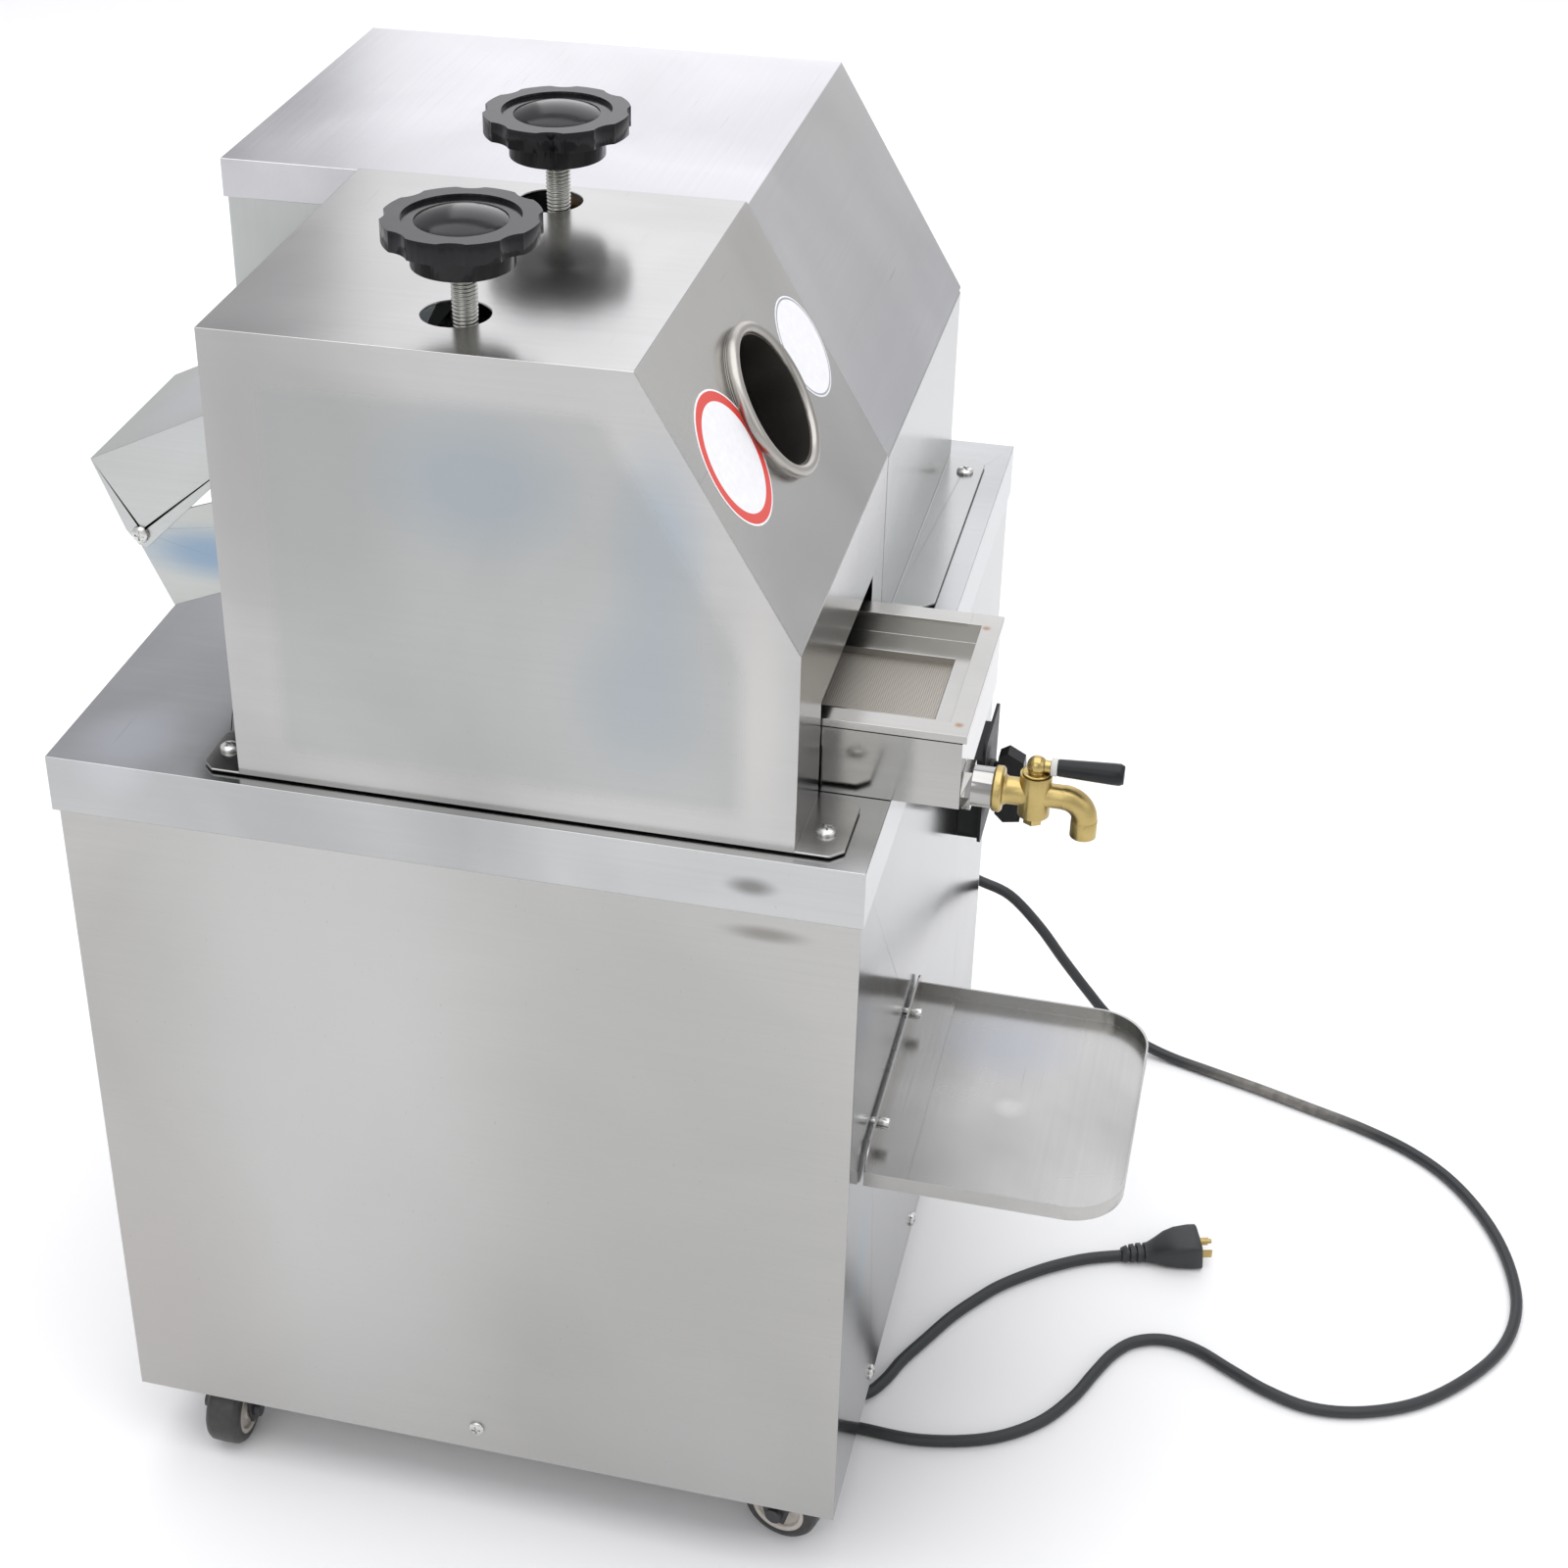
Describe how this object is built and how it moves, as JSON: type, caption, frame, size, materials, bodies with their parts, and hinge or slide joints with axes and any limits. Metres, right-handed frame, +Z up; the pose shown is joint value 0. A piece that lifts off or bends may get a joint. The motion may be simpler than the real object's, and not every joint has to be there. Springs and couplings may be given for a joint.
{
  "type": "electric sugarcane juicer",
  "caption": "Cabinet-mounted roller press with sloped feed mouth, pressure knobs, juice tray, plug tap, discharge hood, cup shelf, swivel casters and power cord.",
  "frame": {"origin": "on the floor under the middle of the machine without its cord", "axes": "+X to the side with the gear cover, +Y to the back, away from the tap, +Z up"},
  "size_m": [0.5861, 0.8716, 0.8495],
  "materials": {
    "satin_steel": "brushed stainless sheet with faint smudges",
    "polished_steel": "bright polished stainless edge and rim",
    "dark_steel": "plain machined steel",
    "zinc_steel": "bright zinc-plated screws and bolts",
    "cast": "painted dark casting",
    "frame_paint": "dark grey paint on welded angle",
    "motor_paint": "blue enamel on a cast housing",
    "bronze": "plain bronze bearing",
    "brass": "polished and satin brass",
    "black_gloss": "glossy black phenolic",
    "black_matte": "matt black plastic",
    "cord_black": "black flexible cord sheath",
    "belt_rubber": "black rubber V-belt",
    "wheel_tread": "black moulded tread",
    "caster_zinc": "black-coated pressed steel",
    "mesh_steel": "fine woven stainless wire"
  },
  "bodies": {
    "cabinet": {"base_frame": "frame_paint", "bottom_plate": "satin_steel", "front_panel": "satin_steel", "left_panel": "satin_steel", "right_panel": "satin_steel", "back_panel": "satin_steel", "top_cap": "satin_steel", "pan_screws": "zinc_steel", "roller_cover": "satin_steel", "gear_housing": "satin_steel", "gear_lid": "satin_steel", "feed_collar": "polished_steel", "cheek_plates": "cast", "tie_rods": "zinc_steel", "bushes": "bronze", "scrapers": "dark_steel", "pillow_blocks": "cast", "motor": "motor_paint", "drive_belt": "belt_rubber", "discharge_duct": "satin_steel", "cup_shelf": "satin_steel", "shelf_bolts": "zinc_steel", "switch_box": "black_matte", "cord_gland": "black_matte", "power_cord": "cord_black", "plug": "black_matte", "caster_plates": "zinc_steel"},
    "front_roller_set": {"front_roller": "dark_steel", "front_gear": "dark_steel", "bull_gear": "dark_steel"},
    "rear_roller_set": {"rear_roller": "dark_steel", "rear_gear": "dark_steel"},
    "top_roller_set": {"top_roller": "dark_steel", "top_gear": "dark_steel"},
    "top_bearings": {"bearing_blocks": "cast"},
    "countershaft_set": {"countershaft": "dark_steel", "pinion": "dark_steel", "large_pulley": "cast"},
    "motor_rotor": {"motor_shaft": "dark_steel", "motor_pulley": "cast"},
    "left_pressure_screw": {"left_screw": "zinc_steel", "left_knob": "black_gloss"},
    "right_pressure_screw": {"right_screw": "zinc_steel", "right_knob": "black_gloss"},
    "tray": {"juice_tray": "satin_steel", "strainer_frame": "satin_steel", "strainer_mesh": "mesh_steel", "tap_body": "brass"},
    "tap_valve": {"tap_plug": "brass", "tap_handle": "black_gloss"},
    "hood": {"chute_hood": "satin_steel"},
    "switch": {"switch_lever": "black_gloss"},
    "caster_fl": {"caster_fork_fl": "caster_zinc"},
    "wheel_fl": {"caster_wheel_fl": "wheel_tread"},
    "caster_fr": {"caster_fork_fr": "caster_zinc"},
    "wheel_fr": {"caster_wheel_fr": "wheel_tread"},
    "caster_bl": {"caster_fork_bl": "caster_zinc"},
    "wheel_bl": {"caster_wheel_bl": "wheel_tread"},
    "caster_br": {"caster_fork_br": "caster_zinc"},
    "wheel_br": {"caster_wheel_br": "wheel_tread"}
  },
  "joints": [
    {"name": "front_roller_spin", "type": "hinge", "parent": "cabinet", "child": "front_roller_set", "pos_m": [-0.1255, 0.0255, 0.62901], "axis": [1, 0, 0], "continuous": true},
    {"name": "top_roller_lift", "type": "slide", "parent": "cabinet", "child": "top_bearings", "axis": [0, 0, 1], "range_m": [0, 0.002]},
    {"name": "top_roller_spin", "type": "hinge", "parent": "top_bearings", "child": "top_roller_set", "pos_m": [-0.1255, 0.0655, 0.684], "axis": [1, 0, 0], "continuous": true},
    {"name": "rear_roller_spin", "type": "hinge", "parent": "cabinet", "child": "rear_roller_set", "pos_m": [-0.1255, 0.1055, 0.62901], "axis": [1, 0, 0], "continuous": true},
    {"name": "countershaft_spin", "type": "hinge", "parent": "cabinet", "child": "countershaft_set", "pos_m": [0.1125, 0.12338, 0.67465], "axis": [1, 0, 0], "continuous": true},
    {"name": "motor_spin", "type": "hinge", "parent": "cabinet", "child": "motor_rotor", "pos_m": [0.1125, 0.12338, 0.176], "axis": [1, 0, 0], "continuous": true},
    {"name": "left_screw_turn", "type": "hinge", "parent": "top_bearings", "child": "left_pressure_screw", "pos_m": [-0.2075, 0.0655, 0.843], "axis": [0, 0, 1], "range_deg": [0, 360]},
    {"name": "right_screw_turn", "type": "hinge", "parent": "top_bearings", "child": "right_pressure_screw", "pos_m": [-0.0435, 0.0655, 0.843], "axis": [0, 0, 1], "range_deg": [0, 360]},
    {"name": "tray_slide", "type": "slide", "parent": "cabinet", "child": "tray", "axis": [0, -1, 0], "range_m": [0, 0.3]},
    {"name": "tap_turn", "type": "hinge", "parent": "tray", "child": "tap_valve", "pos_m": [-0.1775, -0.2315, 0.538], "axis": [0, 0, 1], "range_deg": [-90, 90]},
    {"name": "hood_swing", "type": "hinge", "parent": "cabinet", "child": "hood", "pos_m": [-0.1255, 0.2685, 0.632], "axis": [-1, 0, 0], "range_deg": [0, 95]},
    {"name": "switch_turn", "type": "hinge", "parent": "cabinet", "child": "switch", "pos_m": [0.1365, -0.1775, 0.344], "axis": [0, 1, 0], "range_deg": [-45, 45]},
    {"name": "caster_swivel_fl", "type": "hinge", "parent": "cabinet", "child": "caster_fl", "pos_m": [-0.2205, -0.1015, 0.064], "axis": [0, 0, 1], "continuous": true},
    {"name": "wheel_spin_fl", "type": "hinge", "parent": "caster_fl", "child": "wheel_fl", "pos_m": [-0.22455, -0.11904, 0.025], "axis": [0.9744, -0.225, 0], "continuous": true},
    {"name": "caster_swivel_fr", "type": "hinge", "parent": "cabinet", "child": "caster_fr", "pos_m": [0.2205, -0.1015, 0.064], "axis": [0, 0, 1], "continuous": true},
    {"name": "wheel_spin_fr", "type": "hinge", "parent": "caster_fr", "child": "wheel_fr", "pos_m": [0.23681, -0.10911, 0.025], "axis": [0.4226, 0.9063, 0], "continuous": true},
    {"name": "caster_swivel_bl", "type": "hinge", "parent": "cabinet", "child": "caster_bl", "pos_m": [-0.2205, 0.2465, 0.064], "axis": [0, 0, 1], "continuous": true},
    {"name": "wheel_spin_bl", "type": "hinge", "parent": "caster_bl", "child": "wheel_bl", "pos_m": [-0.2385, 0.2465, 0.025], "axis": [0, -1, 0], "continuous": true},
    {"name": "caster_swivel_br", "type": "hinge", "parent": "cabinet", "child": "caster_br", "pos_m": [0.2205, 0.2465, 0.064], "axis": [0, 0, 1], "continuous": true},
    {"name": "wheel_spin_br", "type": "hinge", "parent": "caster_br", "child": "wheel_br", "pos_m": [0.23681, 0.25411, 0.025], "axis": [-0.4226, 0.9063, 0], "continuous": true}
  ],
  "couplings": [
    {"joint": "top_roller_spin", "follows": "front_roller_spin", "ratio": -1},
    {"joint": "rear_roller_spin", "follows": "front_roller_spin", "ratio": 1},
    {"joint": "countershaft_spin", "follows": "front_roller_spin", "ratio": -3.1538},
    {"joint": "motor_spin", "follows": "front_roller_spin", "ratio": -8.2788},
    {"joint": "left_screw_turn", "follows": "top_roller_lift", "rad_per_m": 3141.6},
    {"joint": "right_screw_turn", "follows": "top_roller_lift", "rad_per_m": 3141.6}
  ]
}
